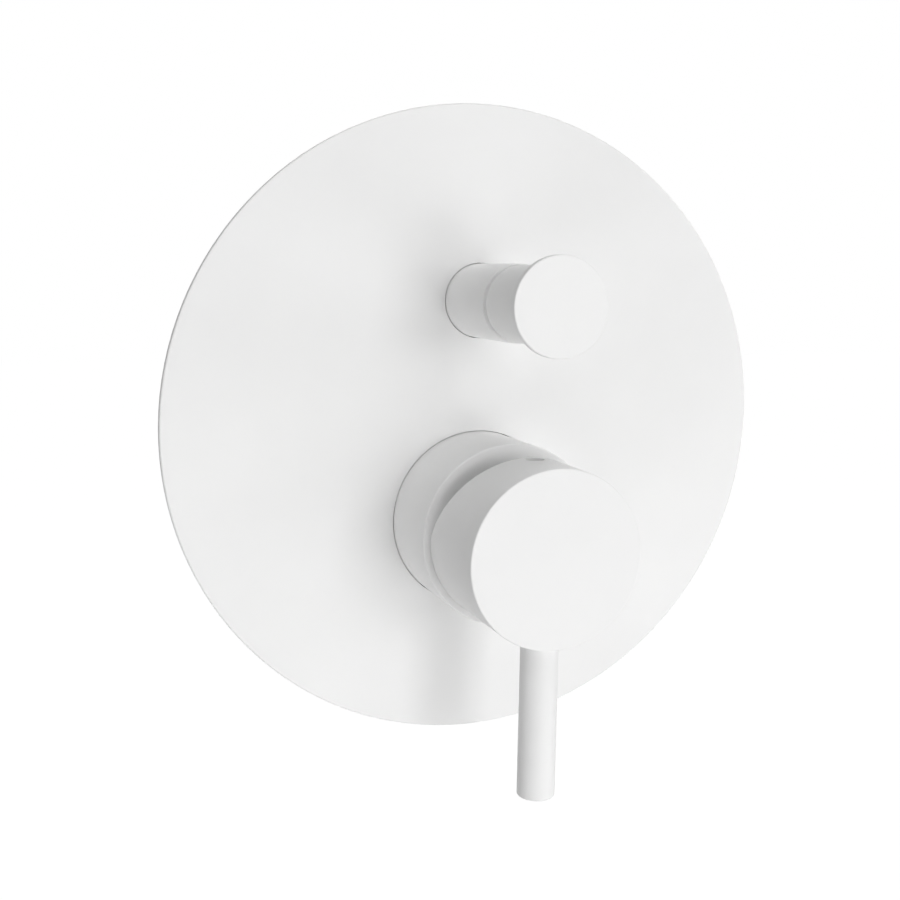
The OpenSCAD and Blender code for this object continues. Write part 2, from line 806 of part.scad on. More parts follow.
module fixed_disc() {
    color(ceramic)
    on_lever() difference() {
        rod_between(fixed_disc_r, fixed_disc_back, fixed_disc_back + disc_t);
        port_holes(fixed_disc_back - over, fixed_disc_back + disc_t + over);
    }
}

module moving_disc() {
    color(ceramic)
    on_lever() difference() {
        rod_between(moving_disc_r, moving_disc_back, carrier_back);
        translate([0, disc_recess_y, 0])
            rod_between(disc_recess_r, moving_disc_back - over, moving_disc_back + disc_recess_t);
    }
}

module disc_carrier() {
    skirt_back = carrier_back - carrier_skirt;
    color(plastic)
    on_lever() difference() {
        union() {
            rod_between(moving_disc_r + carrier_rim_wall, skirt_back, carrier_back + carrier_flange_t);
            rod_between(ball_r + cup_wall, carrier_back, carrier_front);
        }
        rod_between(moving_disc_r + close_fit, skirt_back - over, carrier_back);
        rod_between(ball_r + free_gap, ball_centre - ball_r - cup_room, carrier_front + over);
    }
}

module cartridge_rotor() {
    slot_reach = slot_below + 2 * boss_r + slot_above;
    color(plastic)
    on_lever() difference() {
        union() {
            rod_between(shell_bore_r - free_gap, rotor_back, step_d - free_gap);
            rod_between(rotor_r, rotor_back, rotor_front);
        }
        round_slot(ball_r + cup_wall + cup_gap, -disc_travel - end_gap, rotor_back - over, cavity_front);
        translate([-slot_half, -boss_r - slot_below, cavity_front - over])
            cube([2 * slot_half, slot_reach, rotor_front - cavity_front + 2 * over]);
        translate([0, 0, pivot_d]) rotate([0, 90, 0])
            rod_between(pin_r + snug_fit, -rotor_r - over, rotor_r + over);
    }
}

module pivot_pin() {
    color(steel)
    on_lever() translate([0, 0, pivot_d]) rotate([0, 90, 0])
        rod_between(pin_r, pin_inset - rotor_r, rotor_r - pin_inset);
}

module lever_spindle() {
    color(steel)
    on_lever() difference() {
        union() {
            intersection() {
                translate([-spindle_half, -spindle_half, pivot_d])
                    cube([spindle_w, spindle_w, spindle_len]);
                rod_between(spindle_half + spindle_corner, pivot_d - over, spindle_front + over);
            }
            translate([0, 0, pivot_d]) rotate([0, 90, 0])
                rod_between(boss_r, -spindle_half, spindle_half);
            rod_between(ball_r - spindle_neck_step, ball_centre, pivot_d);
            translate([0, 0, ball_centre]) sphere(r = ball_r);
        }
        translate([0, 0, pivot_d]) rotate([0, 90, 0])
            rod_between(pin_r + run_fit, -spindle_half - over, spindle_half + over);
    }
}

// Diverter valve
module diverter_bush() {
    seat_end = bush_thread_back - bush_web;
    groove_half = small_ring_r + groove_room;
    color(brass)
    on_diverter() difference() {
        union() {
            rod_between(nose_r, nose_back, ring_space_back);
            rod_between(bush_mid_r, nose_back + over, hex_back);
            rod_between(bush_thread_r, bush_thread_back, hex_back);
            hexagon(bush_hex_d / 2, hex_back, hex_front);
            rod_between(bush_neck_r, hex_back, bush_front);
        }
        rod_between(seat_r, nose_back - over, seat_end);
        rod_between(stem_r + run_fit, seat_end - over, bush_front + over);
        for (at = [seal_inner_d, seal_outer_d])
            rod_between(stem_r + 2 * small_ring_r + seal_room, at - groove_half, at + groove_half);
        ring(nose_groove_r, nose_r + over, nose_seal_d - groove_half, nose_seal_d + groove_half);
        translate([0, 0, side_d])
            for (turn = [0, 90])
                rotate([0, 90, turn]) rod_between(bush_port_r, -chamber_r - over, chamber_r + over);
    }
}

module bush_nose_seal() {
    color(rubber)
    on_diverter() o_ring(nose_groove_r + snug_fit, small_ring_r, nose_seal_d);
}

module bush_washer() {
    inner = bush_thread_r + end_gap;
    color(rubber)
    on_diverter() ring(inner, inner + washer_w, bush_seat, hex_back);
}

module diverter_spindle() {
    tail = piston_back - tail_len;
    color(steel)
    on_diverter() rotate_extrude()
        polygon([
            [0, tail], [stem_tail_r - tiny_edge, tail], [stem_tail_r, tail + tiny_edge],
            [stem_tail_r, piston_front], [stem_r, piston_front],
            [stem_r, stem_front - stem_chamfer], [stem_r - stem_chamfer, stem_front], [0, stem_front]
        ]);
}

module spindle_seals() {
    color(rubber)
    on_diverter()
        for (at = [seal_inner_d, seal_outer_d])
            o_ring(stem_r + run_fit, small_ring_r, at);
}

// A ring on one face of the piston, or its groove with some extra width on each side
module face_seal(at, below, above, extra = 0) {
    ring(piston_seal_in - extra, piston_seal_out + extra, at - below, at + above);
}

module diverter_piston() {
    color(plastic)
    on_diverter() difference() {
        rod_between(piston_d / 2, piston_back, piston_front);
        rod_between(stem_tail_r + close_fit, piston_back - over, piston_front + over);
        face_seal(piston_back, over, piston_proud, close_fit);
        face_seal(piston_front, piston_proud, over, close_fit);
    }
}

module piston_seals() {
    color(rubber)
    on_diverter() {
        face_seal(piston_back, piston_proud, piston_proud);
        face_seal(piston_front, piston_proud, piston_proud);
    }
}

module spindle_nut() {
    color(brass)
    on_diverter() difference() {
        hexagon(stem_tail_r + tail_nut_wall, piston_back - tail_nut_t, piston_back);
        rod_between(stem_tail_r + thread_fit, piston_back - tail_nut_t - over, piston_back + over);
    }
}

wall_plate();
plate_gasket();
lever_sleeve();
lever_sleeve_seal();
lever_handle();
lever_rod();
handle_set_screw();
diverter_sleeve();
diverter_sleeve_seal();
diverter_knob();
valve_body();
tower_ring();
cartridge_nut();
cartridge_shell();
cartridge_base();
port_seals();
disc_seals();
fixed_disc();
moving_disc();
disc_carrier();
cartridge_rotor();
pivot_pin();
lever_spindle();
diverter_bush();
bush_nose_seal();
bush_washer();
diverter_spindle();
spindle_seals();
diverter_piston();
piston_seals();
spindle_nut();
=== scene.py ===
# %% [markdown]
# # A wall-mounted shower mixer, coated matt white
#
# The real object is a shower mixer whose brass body sits inside the wall. A thin round plate covers the
# hole, a small knob sends the water to one of two outlets, and a round handle with a straight rod turns
# the water on and sets its warmth. All that shows in the bathroom has the same matt white coat.
#
# The shapes come from a finished CAD model, so this lesson is mostly about finishes: how a powder coat,
# a sand casting, turned metal, ceramic, plastic and rubber each catch the light. One thing is modelled
# here, the screw threads in the body's four ports, because plain bores are all that the CAD holds there.

# %% Load the CAD model as a fixed frame
import json
import math

import bpy
from mathutils import Matrix, Vector


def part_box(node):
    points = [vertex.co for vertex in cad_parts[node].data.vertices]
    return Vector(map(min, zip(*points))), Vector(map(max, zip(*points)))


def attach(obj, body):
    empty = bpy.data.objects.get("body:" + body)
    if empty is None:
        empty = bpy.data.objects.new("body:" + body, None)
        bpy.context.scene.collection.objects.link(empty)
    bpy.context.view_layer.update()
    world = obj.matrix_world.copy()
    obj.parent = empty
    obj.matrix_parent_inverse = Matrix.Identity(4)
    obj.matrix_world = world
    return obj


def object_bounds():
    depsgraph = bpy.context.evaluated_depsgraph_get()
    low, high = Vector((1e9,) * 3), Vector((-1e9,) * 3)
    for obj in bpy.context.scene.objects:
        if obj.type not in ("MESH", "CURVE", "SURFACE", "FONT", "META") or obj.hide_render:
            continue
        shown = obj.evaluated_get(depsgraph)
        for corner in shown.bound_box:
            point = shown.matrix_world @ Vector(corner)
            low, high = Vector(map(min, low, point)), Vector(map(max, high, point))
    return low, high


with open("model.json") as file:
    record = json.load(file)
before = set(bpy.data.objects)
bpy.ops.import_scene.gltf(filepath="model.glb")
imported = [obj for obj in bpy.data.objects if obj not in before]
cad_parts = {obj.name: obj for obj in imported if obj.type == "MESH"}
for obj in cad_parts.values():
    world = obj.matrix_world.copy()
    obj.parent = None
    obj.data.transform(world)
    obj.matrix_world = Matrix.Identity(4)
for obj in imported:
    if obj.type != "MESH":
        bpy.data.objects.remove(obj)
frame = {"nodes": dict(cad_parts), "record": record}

cad_low, cad_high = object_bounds()
nodes = frame["nodes"]
mounts = {mount["name"]: mount for mount in frame["record"]["mounts"]}
print(f"{len(nodes)} CAD nodes, from {tuple(round(v, 4) for v in cad_low)}",
      f"to {tuple(round(v, 4) for v in cad_high)} m")

# %% [markdown]
# ## Two axes carry almost everything
#
# The lever unit and the diverter unit are both turned parts, each about its own axis straight out of the
# wall. The patterns of turned metal run in circles about those axes, so their heights are worked out
# first. They are measured on the model and not typed in, so they stay right if the model changes.

# %% Measure the two axes
MM = 0.001
MICRON = MM / 1000
PORTS = ("hot_inlet", "cold_inlet", "top_outlet", "side_outlet")


def middle(node):
    """Centre of a CAD node's box, in metres."""
    low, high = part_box(node)
    return (low + high) / 2


def mouth(name):
    """Centre of a port's mouth. The record gives the middle of its thread, half a thread further in."""
    mount = mounts[name]
    return Vector(mount["pos_m"]) + Vector(mount["axis"]) * mount["dims"]["length_mm"] / 2 * MM


lever_axis = middle("lever_sleeve")
diverter_axis = middle("diverter_sleeve")
print(f"lever axis at z {lever_axis.z / MM:.1f} mm, diverter axis at z {diverter_axis.z / MM:.1f} mm")
print("mouths:", {name: tuple(round(v / MM, 1) for v in mouth(name)) for name in PORTS})

# %% [markdown]
# ## Shader maths that reads like maths
#
# A procedural material is a chain of small nodes. Wired by hand, a simple sum takes four lines, so one
# small class wraps a node's output and gives it Python's own signs: a * b adds a Multiply node, and
# 1 - mask adds a Subtract node. Any other node comes from one method, which takes the node's type, its
# settings, and the values or links of its sockets. Colours never go through a Math node, which would
# turn them grey. They are blended by a Mix node.

# %% A value in a shader
class Value:
    """One output socket. Sums on it add Math nodes to the same material."""

    def __init__(self, finish, socket):
        self.finish = finish
        self.socket = socket

    def maths(self, operation, first, second):
        return self.finish.node("ShaderNodeMath", {"operation": operation}, {0: first, 1: second})

    def __add__(self, other):
        return self.maths("ADD", self, other)

    __radd__ = __add__

    def __sub__(self, other):
        return self.maths("SUBTRACT", self, other)

    def __rsub__(self, other):
        return self.maths("SUBTRACT", other, self)

    def __mul__(self, other):
        return self.maths("MULTIPLY", self, other)

    __rmul__ = __mul__

    def __lt__(self, other):
        return self.maths("LESS_THAN", self, other)

    def __gt__(self, other):
        return self.maths("GREATER_THAN", self, other)

    def __or__(self, other):
        return self.maths("MAXIMUM", self, other)

    def __abs__(self):
        return self.maths("ABSOLUTE", self, 0.0)


# %% A finish: one material and the nodes in it
class Finish:
    """A material with a Principled shader. What stays the same all over is set on its own socket."""

    def __init__(self, name, **same_all_over):
        self.material = bpy.data.materials.new(name)
        self.material.use_nodes = True
        self.tree = self.material.node_tree
        self.shader = self.tree.nodes["Principled BSDF"]
        for socket, value in same_all_over.items():
            self.shader.inputs[socket.replace("_", " ")].default_value = value

    def node(self, kind, settings=None, sockets=None, out=0):
        made = self.tree.nodes.new(kind)
        for name, value in (settings or {}).items():
            setattr(made, name, value)
        for key, value in (sockets or {}).items():
            self.feed(made.inputs[key], value)
        return Value(self, made.outputs[out])

    def feed(self, socket, value):
        if isinstance(value, Value):
            self.tree.links.new(value.socket, socket)
        else:
            socket.default_value = value

    def show(self, **sockets):
        """Connects patterns to the shader: show(Roughness=..., Base_Color=...)."""
        for name, value in sockets.items():
            self.feed(self.shader.inputs[name.replace("_", " ")], value)


print("shader classes ready")

# %% [markdown]
# ## Patterns that all finishes share
#
# Every pattern is placed by Object coordinates, in metres, so that its grain has the same true size on a
# large plate and on a small screw. A scale of 1000 is then one blob per millimetre. A few helpers cover
# what is needed here: the place of a point, its distance along and from an axis, noise, a blend of two
# colours, a ramp that brings out the middle of a pattern, and a bump whose height is a real distance.

# %% Pattern helpers
def place(finish, centre=(0, 0, 0), stretch=(1, 1, 1)):
    """Object coordinates with their origin moved to centre, then stretched."""
    point = finish.node("ShaderNodeTexCoord", out="Object")
    moved = finish.node("ShaderNodeVectorMath", {"operation": "SUBTRACT"}, {0: point, 1: tuple(centre)})
    return finish.node("ShaderNodeVectorMath", {"operation": "MULTIPLY"}, {0: moved, 1: stretch})


def from_axis(finish, point, axis):
    """How far a point lies along an axis through the origin, and how far away from it."""
    along = finish.node("ShaderNodeVectorMath", {"operation": "DOT_PRODUCT"},
                        {0: point, 1: axis}, out="Value")
    across = finish.node("ShaderNodeVectorMath", {"operation": "CROSS_PRODUCT"}, {0: point, 1: axis})
    return along, finish.node("ShaderNodeVectorMath", {"operation": "LENGTH"}, {0: across}, out="Value")


def noise(finish, where, scale, detail=2.0, roughness=0.5):
    """Soft noise between 0 and 1."""
    return finish.node("ShaderNodeTexNoise", None, {
        "Vector": where, "Scale": scale, "Detail": detail, "Roughness": roughness}, out="Fac")


def blend(finish, amount, first, second):
    """A colour between first and second."""
    return finish.node("ShaderNodeMix", {"data_type": "RGBA"}, {0: amount, 6: first, 7: second}, out=2)


def ramp(finish, value, low, high):
    """Stretches the part of a pattern between low and high to 0 to 1, and cuts off the rest."""
    return finish.node("ShaderNodeMapRange", {"clamp": True}, {0: value, 1: low, 2: high})


def bump(finish, height, distance, strength=1.0, normal=None):
    """A normal from a height, whose full step is distance in metres."""
    sockets = {"Height": height, "Distance": distance, "Strength": strength}
    if normal is not None:
        sockets["Normal"] = normal
    return finish.node("ShaderNodeBump", None, sockets, out="Normal")


def shade(red, green, blue):
    """A colour for a socket, which wants a fourth number."""
    return (red, green, blue, 1.0)


print("pattern helpers ready")

# %% [markdown]
# ## The white coat
#
# The trim is brass, sprayed with a dry powder that is then baked. It melts into one even, matt skin, but
# never a perfectly flat one: it keeps shallow waves about a millimetre across, which painters call
# orange peel, and a much finer grain that makes it matt. An image of such a surface would repeat and
# blur, so both are noise. The waves are only some microns high, because a higher bump would look like
# plaster. The colour drifts by about one part in a hundred, as the film is thicker in some places.

# %% Powder coat
def powder_coat():
    coat = Finish("white_powder_coat", IOR=1.5)
    point = place(coat)
    waves = noise(coat, point, 850, detail=2)
    grain = noise(coat, point, 5200, detail=3, roughness=0.6)
    film = noise(coat, point, 34, detail=3)
    coat.show(
        Base_Color=blend(coat, ramp(coat, film * 0.7 + grain * 0.3, 0.3, 0.7),
                         shade(0.852, 0.852, 0.850), shade(0.878, 0.878, 0.875)),
        Roughness=0.5 + film * 0.07 + grain * 0.08,
        Normal=bump(coat, waves * 0.7 + grain * 0.3, 22 * MICRON, 0.6),
    )
    return coat


white_coat = powder_coat()
print("white coat:", len(white_coat.tree.nodes), "nodes")

# %% [markdown]
# ## The cast brass body
#
# The body is poured in a sand mould and then put on a lathe only where something seals or screws in. So
# it has two finishes: a dull, grainy, slightly brown skin, and bright rings where a tool has cut. Two
# materials would need the mesh to be split. One material with a mask is simpler, because the cut places
# are known: the ends and bores of the four ports, the two towers in front, and a flat ring around each
# fixing hole. A Bevel node rounds the edges that the mould leaves soft, in the shading only, and a faint
# raised line marks where the two halves of the mould met.

# %% Where the lathe has cut the casting
TOWERS_CUT_TO = 10.3 * MM
SPOT_FACE_RADIUS = 5.8 * MM
CUT_MARGIN = 0.3 * MM
BORED_PAST_THREAD = 1 * MM


def cut_places(finish):
    """1 where the casting is machined and 0 on its rough skin."""
    y = finish.node("ShaderNodeSeparateXYZ", None, {0: place(finish)}, out="Y")
    cut = y < TOWERS_CUT_TO
    for name in PORTS:
        mount = mounts[name]
        out, radius = from_axis(finish, place(finish, mouth(name)), tuple(mount["axis"]))
        bore = mount["dims"]["r_mm"] * MM + CUT_MARGIN
        deep = mount["dims"]["length_mm"] * MM + BORED_PAST_THREAD
        cut = cut | (out > -CUT_MARGIN) | ((radius < bore) * (out > -deep))
    lugs = mounts["fixing_lugs"]
    for side in (-0.5, 0.5):
        centre = (side * lugs["dims"]["spacing_x_mm"] * MM, 0, lugs["pos_m"][2])
        radius = finish.node("ShaderNodeVectorMath", {"operation": "LENGTH"},
                             {0: place(finish, centre, (1, 0, 1))}, out="Value")
        cut = cut | (radius < SPOT_FACE_RADIUS)
    return cut


print(f"machined: in front of y {TOWERS_CUT_TO / MM:.1f} mm, {len(PORTS)} ports and the fixing holes")

# %% Sand-cast skin with machined ends
SEAM_TOP, SEAM_FOOT = 0.25 * MM, 0.6 * MM
SOFT_EDGE = 0.9 * MM


def sand_cast():
    cast = Finish("sand_cast_brass", Metallic=1.0)
    point = place(cast)
    cut = cut_places(cast)
    stain = noise(cast, point, 55, detail=4, roughness=0.6)
    sand = noise(cast, point, 1300, detail=5, roughness=0.65)
    pits = cast.node("ShaderNodeTexVoronoi", None, {"Vector": point, "Scale": 420.0}, out="Distance")
    rings = noise(cast, place(cast, lever_axis, (1, 0.15, 1)), 2600, detail=1)
    skin = blend(cast, ramp(cast, stain * 0.7 + sand * 0.3, 0.3, 0.7),
                 shade(0.36, 0.25, 0.105), shade(0.62, 0.46, 0.22))
    bright = blend(cast, rings, shade(0.74, 0.56, 0.27), shade(0.82, 0.65, 0.34))
    y = cast.node("ShaderNodeSeparateXYZ", None, {0: point}, out="Y")
    seam_at = mounts["hot_inlet"]["pos_m"][1]
    seam = 1 - ramp(cast, abs(y - seam_at), SEAM_TOP, SEAM_FOOT)
    soft_edges = cast.node("ShaderNodeBevel", {"samples": 4}, {"Radius": SOFT_EDGE}, out="Normal")
    rough_height = sand * 0.55 + ramp(cast, pits, 0.0, 0.5) * 0.25 + seam * 1.2
    cast.show(
        Base_Color=blend(cast, cut, skin, bright),
        Roughness=(1 - cut) * (0.5 + sand * 0.2) + cut * (0.24 + rings * 0.12),
        Normal=bump(cast, rough_height * (1 - cut) + rings * cut * 0.06, 0.22 * MM, 0.9, soft_edges),
    )
    return cast


cast_brass = sand_cast()
print("cast brass:", len(cast_brass.tree.nodes), "nodes")

# %% [markdown]
# ## Turned metal
#
# Nuts, bushes, pins and spindles are cut on a lathe. The tool leaves fine rings about the axis: circles
# on an end face, and a very fine thread along the outside. Noise of one dimension gives both at once,
# if it reads the distance from the axis plus a share of the distance along it. The axis is a setting, so
# one function dresses every turned piece.

# %% One function for every turned piece
def turned(name, dark, light, centre, axis, rough):
    metal = Finish(name, Metallic=1.0)
    point = place(metal, centre)
    along, radius = from_axis(metal, point, axis)
    rings = metal.node("ShaderNodeTexNoise", {"noise_dimensions": "1D"},
                       {"W": radius + along * 0.8, "Scale": 5200.0, "Detail": 2.0}, out="Fac")
    film = noise(metal, point, 90, detail=3)
    metal.show(
        Base_Color=blend(metal, ramp(metal, film * 0.6 + rings * 0.4, 0.3, 0.7), dark, light),
        Roughness=rough + rings * 0.12 + film * 0.06,
        Normal=bump(metal, rings, 12 * MICRON, 0.8),
    )
    return metal


OUT_OF_WALL = (0.0, -1.0, 0.0)
BRASS = (shade(0.70, 0.52, 0.24), shade(0.82, 0.65, 0.35))
STEEL = (shade(0.53, 0.54, 0.55), shade(0.68, 0.685, 0.69))
lever_brass = turned("turned_brass_lever", *BRASS, lever_axis, OUT_OF_WALL, 0.2)
diverter_brass = turned("turned_brass_diverter", *BRASS, diverter_axis, OUT_OF_WALL, 0.2)
lever_steel = turned("turned_steel_lever", *STEEL, lever_axis, OUT_OF_WALL, 0.24)
diverter_steel = turned("turned_steel_diverter", *STEEL, diverter_axis, OUT_OF_WALL, 0.18)
pin_steel = turned("ground_steel_pin", *STEEL, middle("pivot_pin"), (1.0, 0.0, 0.0), 0.16)
screw_steel = turned("turned_steel_screw", *STEEL, middle("handle_set_screw"), (0.0, 0.0, 1.0), 0.28)
on_the_lathe = (lever_brass, diverter_brass, lever_steel, diverter_steel, pin_steel, screw_steel)
print("turned finishes:", [metal.material.name for metal in on_the_lathe])

# %% [markdown]
# ## Ceramic, plastic, rubber and foam
#
# These sit inside, where nobody looks in daily use, so each has a plain finish of its own kind. The two
# valve discs are hard white ceramic, lapped so flat that they seal against each other. The cartridge is
# moulded plastic with a spark-eroded grain and soft flow marks. The rings are matt black rubber with a
# little bloom, and the gasket behind the plate is foam with closed cells, which a Voronoi pattern draws.

# %% Ceramic and plastic
def lapped_ceramic():
    disc = Finish("lapped_ceramic", IOR=1.75)
    point = place(disc)
    grain = noise(disc, point, 2400, detail=4, roughness=0.7)
    fired = noise(disc, point, 160, detail=2)
    disc.show(
        Base_Color=blend(disc, ramp(disc, grain * 0.5 + fired * 0.5, 0.3, 0.7),
                         shade(0.80, 0.785, 0.73), shade(0.89, 0.88, 0.83)),
        Roughness=0.1 + grain * 0.16,
        Normal=bump(disc, grain, 4 * MICRON, 0.6),
    )
    return disc


def moulded_plastic():
    shell = Finish("moulded_acetal", IOR=1.48)
    point = place(shell)
    flow = noise(shell, place(shell, lever_axis, (1, 0.2, 1)), 140, detail=3)
    grain = noise(shell, point, 3600, detail=3)
    shell.show(
        Base_Color=blend(shell, ramp(shell, flow, 0.3, 0.7),
                         shade(0.68, 0.69, 0.68), shade(0.75, 0.76, 0.75)),
        Roughness=0.36 + grain * 0.14 + flow * 0.06,
        Normal=bump(shell, grain, 10 * MICRON, 0.7),
    )
    return shell


ceramic = lapped_ceramic()
acetal = moulded_plastic()
print("ceramic and plastic ready")

# %% Rubber and foam
def moulded_rubber():
    ring = Finish("moulded_rubber", IOR=1.5)
    point = place(ring)
    bloom = noise(ring, point, 420, detail=4, roughness=0.6)
    grain = noise(ring, point, 4200, detail=2)
    ring.show(
        Base_Color=blend(ring, ramp(ring, bloom, 0.4, 0.75),
                         shade(0.022, 0.022, 0.024), shade(0.055, 0.055, 0.057)),
        Roughness=0.52 + bloom * 0.22,
        Normal=bump(ring, grain, 10 * MICRON, 0.8),
    )
    return ring


def cell_foam():
    pad = Finish("closed_cell_foam", IOR=1.4)
    point = place(pad)
    cells = pad.node("ShaderNodeTexVoronoi", None, {"Vector": point, "Scale": 1900.0}, out="Distance")
    patches = noise(pad, point, 240, detail=3)
    pad.show(
        Base_Color=blend(pad, ramp(pad, cells * 0.6 + patches * 0.4, 0.15, 0.7),
                         shade(0.035, 0.035, 0.038), shade(0.095, 0.095, 0.1)),
        Roughness=0.78 + patches * 0.15,
        Normal=bump(pad, cells, 0.18 * MM, 0.8),
    )
    return pad


rubber = moulded_rubber()
foam = cell_foam()
print("rubber and foam ready")

# %% [markdown]
# ## Dress the CAD nodes
#
# The record says which kind of material each node is made of, so most nodes take their finish straight
# from that list. Turned pieces differ only in the axis that their rings run about, so those few are
# named one by one. The meshes stay as they are: only what is in their material slot changes.

# %% Give every node its finish
by_kind = {
    "white_coat": white_coat, "cast_brass": cast_brass, "turned_brass": diverter_brass,
    "steel": diverter_steel, "ceramic": ceramic, "cartridge_plastic": acetal,
    "rubber": rubber, "foam": foam,
}
by_node = {
    "cartridge_nut": lever_brass, "lever_spindle": lever_steel,
    "pivot_pin": pin_steel, "handle_set_screw": screw_steel,
}


def dress(piece, finish):
    """Puts one finish on the whole of a piece."""
    piece.data.materials.clear()
    piece.data.materials.append(finish.material)


for part in frame["record"]["subparts"]:
    name = part["node"]
    dress(nodes[name], by_node.get(name, by_kind[part["material_slot"]]))

# %% [markdown]
# ## Threads in the four ports
#
# Pipes screw into the body, so each port has a pipe thread of 1.814 mm pitch cut into it. A thread could
# be faked with a bump, but a port is wide open and its edge would give that away. So one ridge is
# modelled: a small square is drawn where the bore's wall is, pulled to the outline of a thread, and
# swept round by a Screw modifier, which lifts it by one pitch each turn. The ridge's first and last
# eighth of a turn are pushed back into the wall, as where a real cutter runs in and out.

# %% Sizes of the thread
PITCH = 1.814 * MM
TURNS = 6
STEPS = 40
THREAD_DEPTH = 1.16 * MM
SUNK_IN_WALL = 0.12 * MM
FOOT_SHARE, CREST_SHARE = 0.98, 0.22
CREST_BEVEL = 0.12 * MM
FIRST_TURN_IN = 0.6 * MM
RUN_OUT = 1 / 8
bore_radius = mounts["hot_inlet"]["dims"]["r_mm"] * MM
crest_radius = bore_radius - THREAD_DEPTH
root_radius = bore_radius + SUNK_IN_WALL
half_way = (crest_radius + root_radius) / 2
print(f"bore {bore_radius / MM:.2f} mm, crest of the thread at {crest_radius / MM:.2f} mm")

# %% Helpers for work in edit mode
def start_fresh():
    """Object mode with nothing selected, so that an operator reaches only the new piece."""
    if bpy.context.mode != "OBJECT":
        bpy.ops.object.mode_set(mode="OBJECT")
    bpy.ops.object.select_all(action="DESELECT")


def pick(piece, wanted):
    """Selects, in edit mode, the points whose place passes the test, and says how many they are."""
    bpy.ops.object.mode_set(mode="EDIT")
    bpy.ops.mesh.select_mode(type="VERT")
    bpy.ops.mesh.select_all(action="DESELECT")
    bpy.ops.object.mode_set(mode="OBJECT")
    count = 0
    for point in piece.data.vertices:
        point.select = bool(wanted(point.co))
        count += point.select
    bpy.ops.object.mode_set(mode="EDIT")
    return count


print("edit helpers ready")

# %% Outline of the ridge
start_fresh()
bpy.ops.mesh.primitive_plane_add(size=1, location=(root_radius, 0, 0), rotation=(math.pi / 2, 0, 0))
ridge = bpy.context.object
ridge.name = "hot_inlet_thread"
ridge.scale = (2 * (root_radius - crest_radius), PITCH * FOOT_SHARE, 1)
bpy.ops.object.transform_apply(location=True, rotation=True, scale=True)
corners = pick(ridge, lambda co: co.x < root_radius)
bpy.ops.transform.resize(value=(1, 1, CREST_SHARE))
bpy.ops.mesh.bevel(affect="VERTICES", offset=CREST_BEVEL, segments=2)
pick(ridge, lambda co: co.x > root_radius)
bpy.ops.transform.translate(value=(crest_radius - root_radius, 0, 0))
bpy.ops.mesh.select_all(action="SELECT")
bpy.ops.mesh.delete(type="ONLY_FACE")
bpy.ops.object.mode_set(mode="OBJECT")
print(f"outline of {len(ridge.data.vertices)} points, {corners} of them rounded")

# %% Sweep it round the bore
screw = ridge.modifiers.new("sweep", "SCREW")
screw.axis = "Z"
screw.angle = 2 * math.pi
screw.screw_offset = PITCH
screw.iterations = TURNS
screw.steps = screw.render_steps = STEPS
bpy.ops.object.modifier_apply(modifier=screw.name)
print(f"ridge of {len(ridge.data.vertices)} points and {TURNS} turns")

# %% Run the ridge out at both ends, close it and smooth it
def turn_of(co):
    """How many turns up the thread a crest point lies, judged by its angle and its height."""
    share = (math.atan2(co.y, co.x) / (2 * math.pi)) % 1.0
    return share + round(co.z / PITCH - share)


steps_out = int(STEPS * RUN_OUT)
for step in range(steps_out + 1):
    push = 1 + (root_radius / crest_radius - 1) * (1 - step / steps_out)
    for at in (step / STEPS, TURNS - step / STEPS):
        pick(ridge, lambda co: math.hypot(co.x, co.y) < half_way
             and abs(turn_of(co) - at) < 0.4 / STEPS)
        bpy.ops.transform.resize(value=(push, push, 1), center_override=(0, 0, 0))
bpy.ops.mesh.select_all(action="DESELECT")
bpy.ops.mesh.select_non_manifold()
bpy.ops.mesh.fill_holes(sides=0)
bpy.ops.mesh.select_all(action="SELECT")
bpy.ops.mesh.normals_make_consistent(inside=False)
bpy.ops.object.mode_set(mode="OBJECT")
bpy.ops.object.shade_smooth_by_angle(angle=math.radians(40))
print("ridge closed,", len(ridge.data.polygons), "faces")

# %% One thread for each port
def seat(piece, name):
    """Turns a thread from the Z axis into a port, its first turn just inside the mouth."""
    inward = -Vector(mounts[name]["axis"])
    start = Matrix.Translation(mouth(name) + inward * (PITCH + FIRST_TURN_IN))
    piece.matrix_world = start @ inward.to_track_quat("Z", "Y").to_matrix().to_4x4()
    start_fresh()
    piece.select_set(True)
    bpy.context.view_layer.objects.active = piece
    bpy.ops.object.transform_apply(location=True, rotation=True, scale=True)


threads = [ridge]
for name in PORTS[1:]:
    copy = ridge.copy()
    copy.data = ridge.data.copy()
    copy.name = name + "_thread"
    bpy.context.collection.objects.link(copy)
    threads.append(copy)
for thread, name in zip(threads, PORTS):
    seat(thread, name)
    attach(thread, "root")
print("threads:", [thread.name for thread in threads])

# %% Freshly cut brass for the threads
def cut_brass():
    metal = Finish("cut_brass_thread", Metallic=1.0)
    point = place(metal)
    chatter = noise(metal, point, 3800, detail=2)
    film = noise(metal, point, 120, detail=3)
    metal.show(
        Base_Color=blend(metal, ramp(metal, film * 0.6 + chatter * 0.4, 0.3, 0.7), *BRASS),
        Roughness=0.22 + chatter * 0.16,
        Normal=bump(metal, chatter, 10 * MICRON, 0.7),
    )
    return metal


thread_brass = cut_brass()
for thread in threads:
    dress(thread, thread_brass)
print("threads dressed")

# %% [markdown]
# ## Floor and background
#
# The photograph shows the mixer on pure white, hanging free as it would on its wall. A wall behind it
# would hide the body, so the mixer hangs in the air here too, over a pale floor well below it. White
# must not come from stronger lamps, which would wash out the coat. Light Path tells the material what
# kind of ray is asking: the camera, a gloss or a clear piece sees white, and light that falls on the
# object meets only a plain pale floor and a dim sky.

